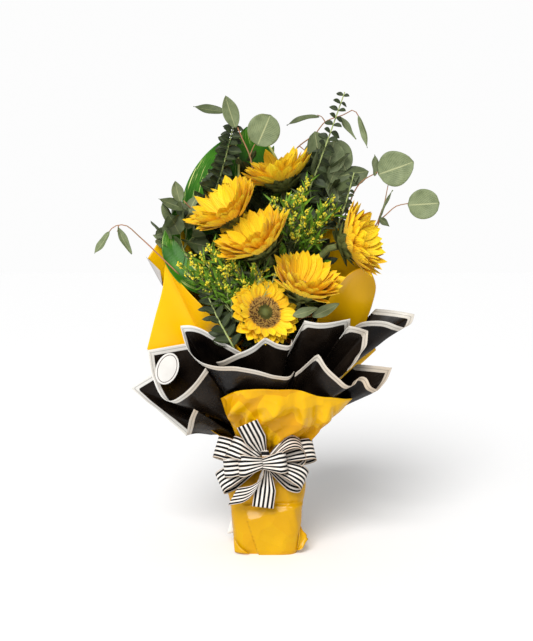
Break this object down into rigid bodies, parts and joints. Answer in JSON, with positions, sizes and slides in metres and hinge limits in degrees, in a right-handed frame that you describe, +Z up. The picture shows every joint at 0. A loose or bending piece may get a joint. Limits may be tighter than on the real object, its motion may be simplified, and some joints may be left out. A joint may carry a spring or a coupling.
{
  "type": "wrapped sunflower bouquet",
  "caption": "cut sunflowers with eucalyptus, goldenrod and broad leaves, gathered in yellow and black wrapping sheets with a striped bow, standing on a flat wrapped foot",
  "frame": {"origin": "the middle of the flat underside of the wrapped foot", "axes": "+Z up along the bouquet; the bow and the open side of the wrap face -Y; +X is to the right seen from the front"},
  "size_m": [0.5474, 0.2848, 0.7513],
  "materials": {
    "paper_yellow": "satin yellow wrapping film",
    "paper_black": "satin black wrapping sheet with a pale border",
    "ribbon": "woven, cream with black stripes",
    "label": "plain white oval",
    "petals": "yellow petals round a dark seed disc",
    "stems": "green stems",
    "goldenrod": "small yellow buds on green",
    "eucalyptus": "matt grey-green leaves",
    "broad_leaves": "glossy green with cream streaks",
    "dark_leaves": "dark green leaves"
  },
  "bodies": {
    "root": {"black_back": "paper_black", "black_front_centre": "paper_black", "black_front_left": "paper_black", "black_front_right": "paper_black", "black_left_label": "paper_black", "black_left_low": "paper_black", "black_right_high": "paper_black", "black_right_inner": "paper_black", "black_right_low": "paper_black", "bow_knot": "ribbon", "broad_leaf_left": "broad_leaves", "broad_leaf_low": "broad_leaves", "broad_leaf_tall": "broad_leaves", "collar_back": "paper_yellow", "collar_front": "paper_yellow", "dark_leaf_left": "dark_leaves", "eucalyptus_far_left": "eucalyptus", "eucalyptus_far_right": "eucalyptus", "eucalyptus_left": "eucalyptus", "eucalyptus_mass_left": "eucalyptus", "eucalyptus_mass_right": "eucalyptus", "eucalyptus_right": "eucalyptus", "eucalyptus_top_left": "eucalyptus", "eucalyptus_top_right": "eucalyptus", "foot": "paper_yellow", "goldenrod_front": "goldenrod", "goldenrod_left": "goldenrod", "goldenrod_right": "goldenrod", "greenery_back": "dark_leaves", "greenery_core": "dark_leaves", "label": "label", "loop_left_front": "ribbon", "loop_left_lower": "ribbon", "loop_left_upper": "ribbon", "loop_right_front": "ribbon", "loop_right_lower": "ribbon", "loop_right_rear": "ribbon", "loop_right_upper": "ribbon", "spike_left": "eucalyptus", "spike_right": "eucalyptus", "spike_right_small": "eucalyptus", "stem_bundle": "stems", "stem_front": "stems", "stem_left": "stems", "stem_lower_right": "stems", "stem_middle": "stems", "stem_right": "stems", "stem_top": "stems", "sunflower_front": "petals", "sunflower_left": "petals", "sunflower_lower_right": "petals", "sunflower_middle": "petals", "sunflower_right": "petals", "sunflower_top": "petals", "tail_foot": "ribbon", "tail_lower": "ribbon", "tail_upper": "ribbon", "yellow_back": "paper_yellow", "yellow_left": "paper_yellow", "yellow_right": "paper_yellow"}
  },
  "joints": []
}
